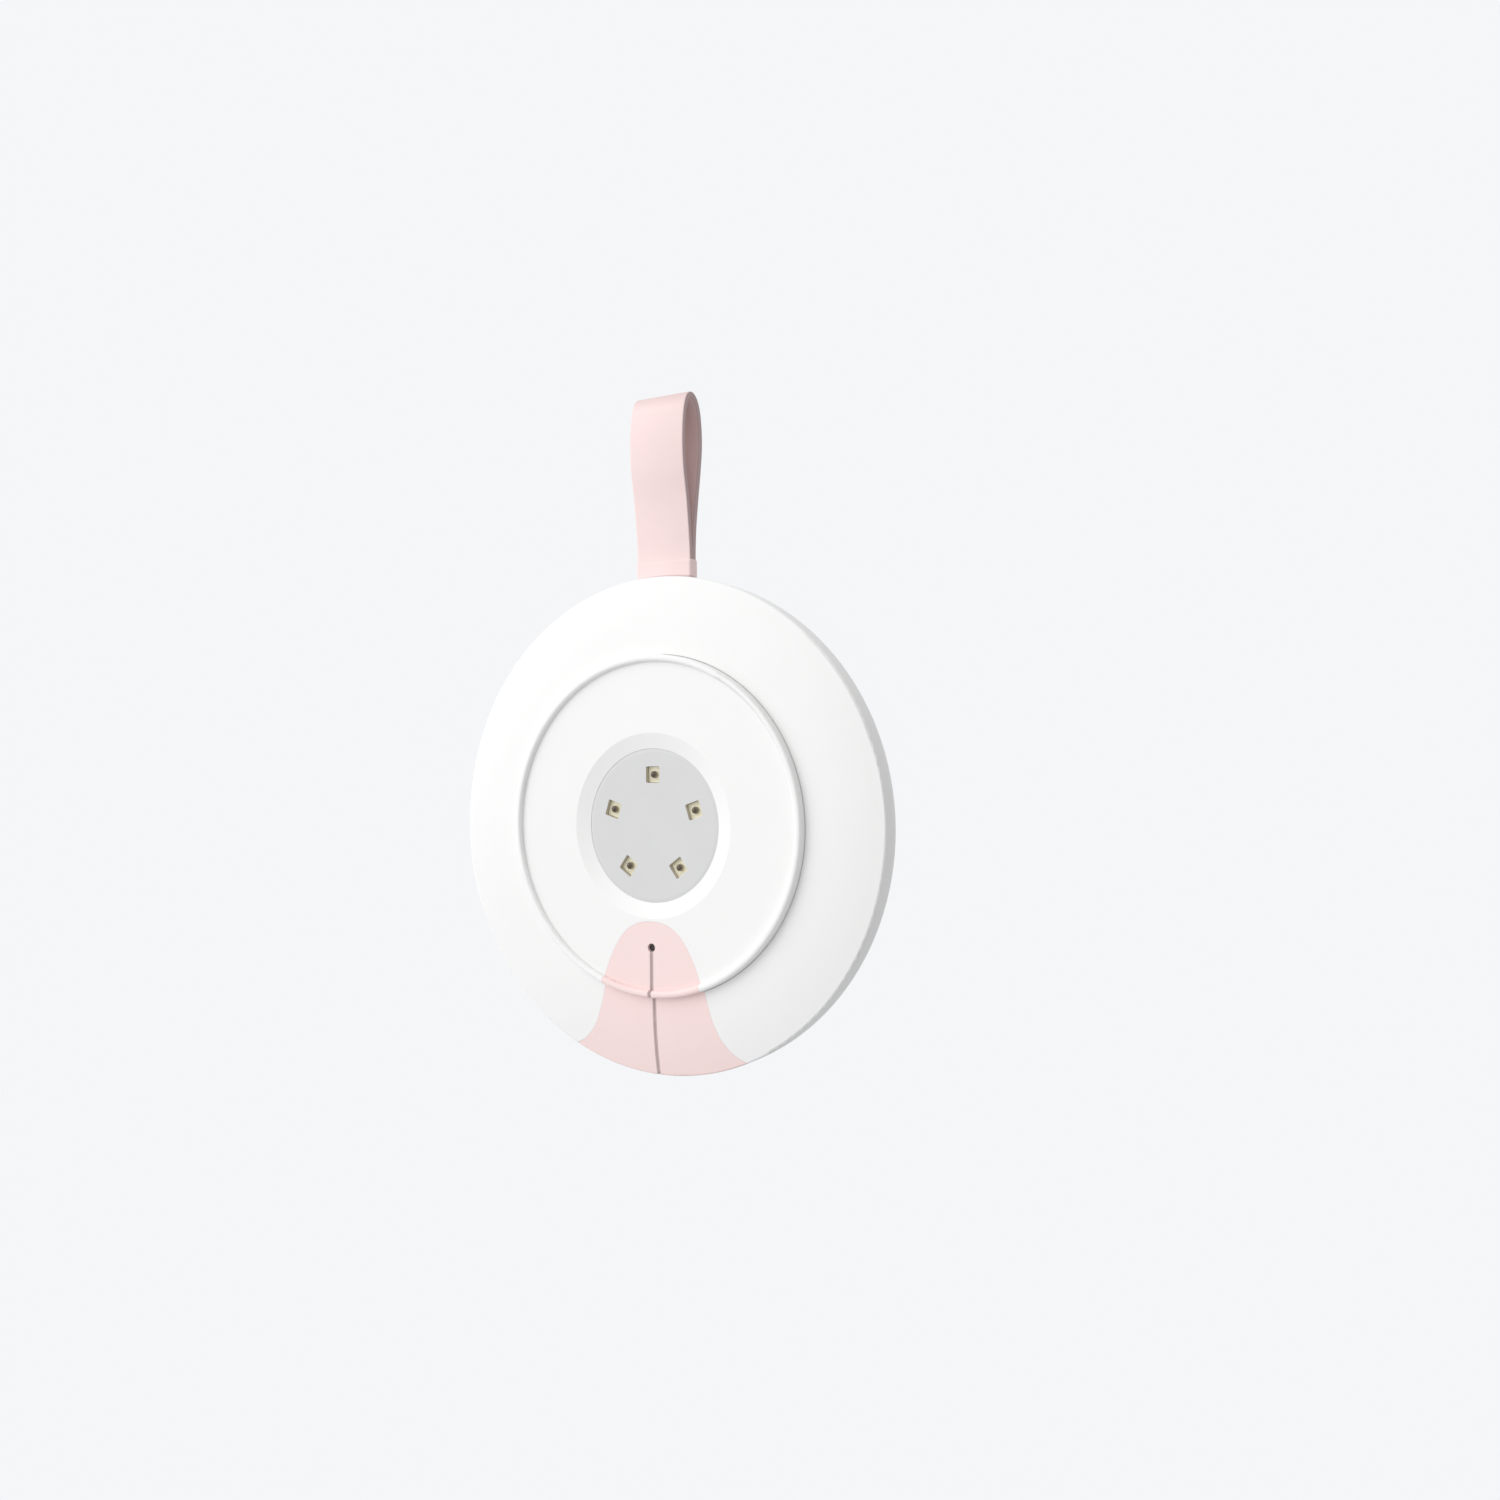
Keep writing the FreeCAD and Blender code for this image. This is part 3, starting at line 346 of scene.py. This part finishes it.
# %% Helpers for turned pieces
def arc(centre, radius, start, end, steps=5):
    """Points of a rounded edge in a turned outline; angles in degrees."""
    turns = [math.radians(start + (end - start) * step / steps) for step in range(steps + 1)]
    across, along_line = centre
    return [(across + radius * math.cos(turn), along_line + radius * math.sin(turn))
            for turn in turns]


TIP_R = 0.01  # a ring at a tip keeps this radius, so that its points stay apart


def turned(outline, x=0, z=0, steps=64):
    """Rings of a shape turned about the line through x and z that runs front to back."""
    return [[(x + u, y, z + v) for u, v in circle(max(r, TIP_R), steps)] for r, y in outline]


# %% [markdown]
# ## The strap
#
# The strap is one flat band of soft rubber, folded over at the top so that both ends go down into
# the same collar. Its outer skin is pink; the lining and the cut edges are a darker mauve, partly
# their own tone and partly painted shade, for the shade that falls inside the loop and on its
# edges. The fold is not a circle: the band leaves the collar nearly flat and swells towards the
# top, as a stiff band does. A smooth curve through a few points of that outline gives the bend,
# and the band's section travels along it. The crest fades to a darker pink than the rest: painted
# shade on the top of the fold.

# %% The strap's outline
STRAP_W, STRAP_T, EDGE_R = 14.0, 1.3, 0.22  # width, thickness, rounding of the cut edges
BEND = (7.2, 60.75)  # y and z of the place where it bends
FRONT_LEG_Y, REAR_LEG_Y, STRAP_FOOT_Z = 5.9, 8.5, 57.6
outside = [(FRONT_LEG_Y, STRAP_FOOT_Z), (FRONT_LEG_Y, BEND[1]), (5.4, 66.0), (4.6, 72.5),
           (3.45, 79.0), (3.1, 84.5), (3.4, 89.5), (4.15, 93.2), (5.4, 95.35), (7.2, 96.1),
           (9.05, 95.3), (10.4, 93.1), (11.2, 89.4), (11.4, 84.5), (10.75, 78.8), (9.75, 72.5),
           (8.85, 66.0), (REAR_LEG_Y, BEND[1]), (REAR_LEG_Y, STRAP_FOOT_Z)]


def smooth_line(corners, steps=10):
    """Centripetal curve through all the corners."""
    points = [np.array(corner) for corner in corners]
    points = [2 * points[0] - points[1]] + points + [2 * points[-1] - points[-2]]
    line = []
    for a, b, c, d in zip(points, points[1:], points[2:], points[3:]):
        knots = np.cumsum([0] + [np.linalg.norm(q - p) ** 0.5 for p, q in ((a, b), (b, c), (c, d))])
        for t in np.linspace(knots[1], knots[2], steps, endpoint=False):
            ab = a + (b - a) * (t - knots[0]) / (knots[1] - knots[0])
            bc = b + (c - b) * (t - knots[1]) / (knots[2] - knots[1])
            cd = c + (d - c) * (t - knots[2]) / (knots[3] - knots[2])
            abc = ab + (bc - ab) * (t - knots[0]) / (knots[2] - knots[0])
            bcd = bc + (cd - bc) * (t - knots[1]) / (knots[3] - knots[1])
            line.append(abc + (bcd - abc) * (t - knots[1]) / (knots[2] - knots[1]))
    line.append(points[-2])
    return np.array(line)


# %% The strap
line = smooth_line(outside)
along = np.gradient(line, axis=0)
along /= np.linalg.norm(along, axis=1)[:, None]
inward = np.column_stack((along[:, 1], -along[:, 0]))
section = rounded_box(STRAP_W, STRAP_T, EDGE_R)
rings = []
for point, normal in zip(line, inward):
    rings.append([(u, *(point + normal * (STRAP_T / 2 - v))) for u, v in section])
strap = skin("strap", rings, SILICONE)
strap.data.materials.append(LINING)
strap.data.materials.append(STRAP_EDGE)
# Lining and cut edges take the darker mauves: partly own tone, partly painted shade.
PINK_ON_EDGE = 0.6  # how far the pink skin reaches round the rounding of the cut edge
per_ring = len(section)
for index, face in enumerate(strap.data.polygons[2:]):
    this, following = section[index % per_ring], section[(index + 1) % per_ring]
    middle_u, middle_v = [(a + b) / 2 for a, b in zip(this, following)]
    if middle_v < EDGE_R - STRAP_T / 2 and abs(middle_u) < STRAP_W / 2 - EDGE_R:
        face.material_index = 1
    elif middle_v < STRAP_T / 2 - PINK_ON_EDGE * EDGE_R:
        face.material_index = 2
# Painted shade: the pink darkens towards the crest of the fold.
CREST_SHADE_TONE, CREST_LOW, CREST_HIGH = (0.70, 0.54, 0.53), 92.5, 96.3
mix_in(SILICONE, CREST_SHADE_TONE, fading(SILICONE, "Z", CREST_LOW, CREST_HIGH))
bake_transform(strap)
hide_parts("strap_loop")
strap_top = max(vertex.co.z for vertex in strap.data.vertices)
print("strap stands", round(1000 * strap_top, 2), "mm above the hanging point")

# %% [markdown]
# ## The collar and what holds it
#
# The collar is a thicker foot that hides where the two ends of the band meet. It narrows to a
# neck that goes through the rim, then widens to a shoulder so that the strap can't be pulled out.
# The inside end is a flat tab that a post holds. Only the collar shows, so only it is rounded.

# %% Collar, neck, shoulder and tab
anchor_low, anchor_high = drawn("strap_anchor")
COLLAR_TOP = anchor_high.z
TAB_FOOT = anchor_low.z
COLLAR_W, COLLAR_T, COLLAR_ROUND, COLLAR_LOW = 14.54, 3.1, 0.5, 53.55
NECK = (13.0, 2.6, 0.4)  # width, thickness and corner rounding
SHOULDER = (18.0, 3.4, 0.4)
TAB_END = (12.4, 2.0, 0.3)
SHOULDER_LOW, SHOULDER_H, TAB_CHAMFER = 49.3, 2.3, 0.3
STEP, SHARPEST = 0.05, 0.05  # height of a step, and the least corner rounding


def level(z, width, height, radius):
    """Ring of the anchor at height z."""
    return [(u, BEND[0] + v, z) for u, v in rounded_box(width, height, radius)]


tab_rings = [level(TAB_FOOT, *TAB_END), level(TAB_FOOT + TAB_CHAMFER, *NECK),
             level(SHOULDER_LOW, *NECK), level(SHOULDER_LOW + STEP, *SHOULDER),
             level(SHOULDER_LOW + SHOULDER_H, *SHOULDER),
             level(SHOULDER_LOW + SHOULDER_H + STEP, *NECK), level(COLLAR_LOW - STEP, *NECK),
             level(COLLAR_LOW, COLLAR_W, COLLAR_T, COLLAR_ROUND)]
for r, z in arc((COLLAR_ROUND, COLLAR_TOP - COLLAR_ROUND), COLLAR_ROUND, 180, 90):
    tab_rings.append(level(z, COLLAR_W - 2 * r, COLLAR_T - 2 * r, max(COLLAR_ROUND - r, SHARPEST)))
print("anchor from", [round(v, 2) for v in anchor_low], "to", [round(v, 2) for v in anchor_high])

# %% [markdown]
# ## The line where the collar meets the rim
#
# Where the collar meets the rim, between two soft-edged mouldings, a fine dark line is painted
# shade for the contact there; it is a second colour on the collar's foot. The line is found by each
# point's distance from the disc's middle, counted faster towards the back, because the rim rounds
# away there.

# %% The collar and its line
SIDE_END_Y, ROUNDING = 6.1, 2.65  # where the rim starts to round, and how much faster y counts
# Painted shade: a fine dark line on the collar's foot where it meets the rim.
CONTACT_SHADE_H, CONTACT_SHADE_TONE = 0.6, (0.66, 0.51, 0.51)
COLLAR = SILICONE.copy()
COLLAR.name = "collar_silicone"
steps_out = COLLAR.node_tree.nodes.new("ShaderNodeTexCoord").outputs["Object"]
for kind, values in (("SUBTRACT", at(0, SIDE_END_Y, 0)), ("MULTIPLY", (1, ROUNDING, 1)),
                     ("LENGTH", None)):
    step = COLLAR.node_tree.nodes.new("ShaderNodeVectorMath")
    step.operation = kind
    COLLAR.node_tree.links.new(steps_out, step.inputs[0])
    if values:
        step.inputs[1].default_value = values
    steps_out = step.outputs["Value" if kind == "LENGTH" else "Vector"]
# The painted shade line covers the collar below this distance from the disc's middle.
contact_shade = COLLAR.node_tree.nodes.new("ShaderNodeMath")
contact_shade.operation = "LESS_THAN"
contact_shade.inputs[1].default_value = (BODY_R + CONTACT_SHADE_H) / 1000
COLLAR.node_tree.links.new(steps_out, contact_shade.inputs[0])
mix_in(COLLAR, CONTACT_SHADE_TONE, contact_shade.outputs["Value"])
collar = skin("strap_collar", tab_rings, COLLAR, "lamp", smooth=50)
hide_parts("strap_anchor")

# %% [markdown]
# ## LEDs
#
# Each LED is a flat square of cream ceramic soldered to the board, at the bottom of a window in the
# grey plate. On it stands a small clear dome over the chip. The chip looks nearly black while the
# lamp is off, so the dome is dark, and its foot is tinted towards cream: a painted reflection of
# the ceramic round it. A shallow line runs near the ceramic's edge, as on many packages of this
# kind.
# The five stand on a circle, each turned so that one side faces the centre.

# %% Measures of the LEDs
LED_CIRCLE_R, LED_W, LED_CORNER_R, LED_EDGE = 11.2, 3.5, 0.3, 0.06
FRAME_LINE = ((0.24, 0.0), (0.28, 0.03), (0.42, 0.03), (0.46, 0.0))  # inset and depth of the line
FRAME_CORNER_R = 0.2
led_low, led_high = drawn("led_package_1")
CERAMIC_Y, LED_BACK_Y = led_low.y, led_high.y
dome_low, dome_high = drawn("led_window_1")
DOME_R, DOME_H = (dome_high.x - dome_low.x) / 2, dome_high.y - dome_low.y
DOME_FOOT = 0.4  # height of the upright foot below the round crown
DOME_SUNK, FOOT_SHORT = 0.02, 0.03  # sunk into the ceramic, and the break before the crown
print("ceramic", round(LED_BACK_Y - CERAMIC_Y, 2), "mm thick")
print("dome", round(DOME_H, 2), "mm high, radius", round(DOME_R, 2))

# %% Packages and domes
# Painted reflection: the dome's foot fades towards the cream of the ceramic round it.
FOOT_REFLECTION_TINT, TINT_START = (0.55, 0.50, 0.37), 0.15
mix_in(WINDOW, FOOT_REFLECTION_TINT, fading(WINDOW, "Y", dome_low.y + TINT_START, CERAMIC_Y))


def led_ring(width, radius, y, angle):
    """Rounded square on the LED circle, turned to face the centre."""
    out = Vector((math.cos(angle), math.sin(angle)))
    side = Vector((-math.sin(angle), math.cos(angle)))
    spots = [out * (LED_CIRCLE_R + u) + side * v for u, v in rounded_box(width, width, radius)]
    return [(spot.x, y, spot.y) for spot in spots]


for index in range(5):
    angle = math.radians(90 + 72 * index)
    package_rings = [led_ring(LED_W, LED_CORNER_R, LED_BACK_Y, angle)]
    for r, drop in arc((LED_EDGE, LED_EDGE), LED_EDGE, 180, 270, 3):
        package_rings.append(led_ring(LED_W - 2 * r, LED_CORNER_R - r, CERAMIC_Y + drop, angle))
    for inset, drop in FRAME_LINE:
        package_rings.append(led_ring(LED_W - 2 * inset, FRAME_CORNER_R, CERAMIC_Y + drop, angle))
    package = skin(f"led_{index + 1}", package_rings, CERAMIC, "lamp")
    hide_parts(f"led_package_{index + 1}")
    x, z = LED_CIRCLE_R * math.cos(angle), LED_CIRCLE_R * math.sin(angle)
    crown = DOME_H - DOME_FOOT
    ball_r = (DOME_R ** 2 + crown ** 2) / (2 * crown)
    reach = math.degrees(math.asin(DOME_R / ball_r))
    dome = [(DOME_R, CERAMIC_Y + DOME_SUNK), (DOME_R, CERAMIC_Y - DOME_FOOT + FOOT_SHORT)]
    dome += arc((0, CERAMIC_Y - DOME_H + ball_r), ball_r, -90 + reach, -90, 12)
    lens = skin(f"led_dome_{index + 1}", turned(dome, x, z, 40), WINDOW, "lamp", smooth=50)
    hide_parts(f"led_window_{index + 1}")

# %% [markdown]
# ## The button
#
# The button on the back is a cap with a dished top, so that a fingertip finds it without looking.
# The flange behind it keeps it in the cover. It is turned like a lid on a lathe: half an outline,
# swung once round.

# %% Button cap
button_low, button_high = drawn("power_button")
FLANGE_R, FLANGE_T, CAP_R, CAP_ROUND = 8.0, 0.7, 6.3, 0.5
DISH_R, DISH_DEPTH, DISH_STEPS = 5.6, 0.35, 14
flat_r = CAP_R - CAP_ROUND
flange_y = button_low.y + FLANGE_T
cap = [(FLANGE_R, button_low.y), (FLANGE_R, flange_y), (CAP_R, flange_y)]
cap += arc((flat_r, button_high.y - CAP_ROUND), CAP_ROUND, 0, 90)
for r in np.linspace(DISH_R, 0, DISH_STEPS):
    cap.append((r, button_high.y - DISH_DEPTH * (1 - (r / flat_r) ** 2)))
button = skin("button_cap", turned(cap, steps=96), CAP_PINK, "button")
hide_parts("power_button")

# %% [markdown]
# ## The feet
#
# The four feet are rubber buttons pressed into pockets over the housing screws. A raised ring round
# a shallow dish keeps them from sliding when the lamp lies face up. The same turning helper makes
# them, so only the outline and the four places are new.

# %% Feet
feet_low, feet_high = drawn("rubber_feet")
FOOT_R, FOOT_ROUND = 4.5, 0.45
FOOT_DISH = ((3.35, 0.0), (3.15, 0.06), (2.95, 0.18), (2.7, 0.24), (0.0, 0.24))  # radius, depth
foot_at = feet_high.x - FOOT_R
foot_outline = [(FOOT_R, feet_low.y)]
foot_outline += arc((FOOT_R - FOOT_ROUND, feet_high.y - FOOT_ROUND), FOOT_ROUND, 0, 90)
foot_outline += [(r, feet_high.y - depth) for r, depth in FOOT_DISH]
for index, (right, up) in enumerate(((1, 1), (-1, 1), (-1, -1), (1, -1))):
    foot_rings = turned(foot_outline, right * foot_at, up * foot_at)
    foot = skin(f"foot_{index + 1}", foot_rings, RUBBER, "lamp")
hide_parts("rubber_feet")

# %% [markdown]
# ## The room and the floor
#
# The lamp hangs over a pale studio floor. The room's light comes from all round and is stronger
# from the left and from above. Room and floor are shown to the camera as one plain tone, as on a
# catalogue page, and their real light only reaches the lamp. The price is that the floor takes no
# shadow.

# %% A helper for room and floor
BACKGROUND = (0.913, 0.922, 0.939)
ROOM_LIGHT, ROOM_LEAN = 0.965, (-0.41, 0.0, 0.19)
FLOOR_PAINT, FLOOR_R, FLOOR_Z = (0.58, 0.585, 0.59), 2.5, -1.2


def by_ray(tree, lighting, looking, output):
    """Light that a surface gives to the object, and the plain colour that a camera sees there."""
    ray, chooser = tree.nodes.new("ShaderNodeLightPath"), tree.nodes.new("ShaderNodeMixShader")
    tree.links.new(ray.outputs["Is Camera Ray"], chooser.inputs["Fac"])
    tree.links.new(lighting, chooser.inputs[1])
    tree.links.new(looking, chooser.inputs[2])
    tree.links.new(chooser.outputs["Shader"], tree.nodes.new(output).inputs["Surface"])


# %% The room
world = bpy.data.worlds.new("studio")
world.use_nodes = True
bpy.context.scene.world = world
room = world.node_tree
room.nodes.clear()
seen, glow = room.nodes.new("ShaderNodeBackground"), room.nodes.new("ShaderNodeBackground")
seen.inputs["Color"].default_value = (*BACKGROUND, 1)
direction, lean = room.nodes.new("ShaderNodeTexCoord"), room.nodes.new("ShaderNodeVectorMath")
level_light = room.nodes.new("ShaderNodeMath")
lean.operation = "DOT_PRODUCT"
lean.inputs[1].default_value = ROOM_LEAN
level_light.inputs[1].default_value = ROOM_LIGHT
room.links.new(direction.outputs["Generated"], lean.inputs[0])
room.links.new(lean.outputs["Value"], level_light.inputs[0])
room.links.new(level_light.outputs["Value"], glow.inputs["Strength"])
by_ray(room, glow.outputs["Background"], seen.outputs["Background"], "ShaderNodeOutputWorld")
most_lean = Vector(ROOM_LEAN).length
print("room light:", round(ROOM_LIGHT - most_lean, 2), "to", round(ROOM_LIGHT + most_lean, 2))

# %% The floor
bpy.ops.mesh.primitive_circle_add(vertices=128, radius=FLOOR_R, fill_type="NGON",
                                  location=(0, 0, FLOOR_Z))
floor = bpy.context.object
floor.name = "floor"
paint = bpy.data.materials.new("floor_paint")
paint.use_nodes = True
paint.node_tree.nodes.clear()
matt = paint.node_tree.nodes.new("ShaderNodeBsdfDiffuse")
matt.inputs["Color"].default_value = (*FLOOR_PAINT, 1)
even = paint.node_tree.nodes.new("ShaderNodeEmission")
even.inputs["Color"].default_value = (*BACKGROUND, 1)
by_ray(paint.node_tree, matt.outputs["BSDF"], even.outputs["Emission"], "ShaderNodeOutputMaterial")
floor.data.materials.append(paint)
print("floor at z", FLOOR_Z, "m, radius", FLOOR_R, "m")

# %% [markdown]
# ## The key light
#
# One very broad lamp from the front, left and above gives the disc its form: the right-hand side
# falls off gently and nothing throws a hard shadow. A sun with a wide disc does this at any
# distance.

# %% Key light
KEY_STRENGTH, KEY_WIDTH, KEY_TRAVELS = 0.36 * math.pi, 60, (0.17, 0.21, -0.125)
key = bpy.data.objects.new("key", bpy.data.lights.new("key", "SUN"))
key.data.energy = KEY_STRENGTH
key.data.angle = math.radians(KEY_WIDTH)
key.rotation_euler = Vector(KEY_TRAVELS).to_track_quat("-Z", "Y").to_euler()
bpy.context.scene.collection.objects.link(key)
bpy.context.scene.view_settings.view_transform = "Standard"
print("key light:", round(KEY_STRENGTH, 2), "W per square metre,", KEY_WIDTH, "degrees wide")

# %% [markdown]
# ## The camera
#
# The camera stands about 29 cm away, to the right of the lit face and nearly level with it, and
# leans by about half a degree. Its three directions are plain vectors, so the view is the same
# every time.

# %% Camera
CAMERA_AT = at(162.2, -236.9, 13.3)
SENSOR_W, FOCAL_LENGTH, NEAREST = 36, 31.36, 0.01  # mm, mm, m
FORWARD = Vector((-0.5, 0.866, 0.011)).normalized()
RIGHT = FORWARD.cross(Vector((0.011, -0.006, 1.0))).normalized()
UP = RIGHT.cross(FORWARD)
camera = bpy.data.objects.new("camera", bpy.data.cameras.new("camera"))
bpy.context.scene.collection.objects.link(camera)
turn = Matrix((RIGHT, UP, -FORWARD)).transposed().to_4x4()
camera.matrix_world = Matrix.Translation(CAMERA_AT) @ turn
camera.data.sensor_width = SENSOR_W
camera.data.lens = FOCAL_LENGTH
camera.data.clip_start = NEAREST
bpy.context.scene.camera = camera
print("camera to disc:", round(100 * (CAMERA_AT - CENTRE).length, 1), "cm")
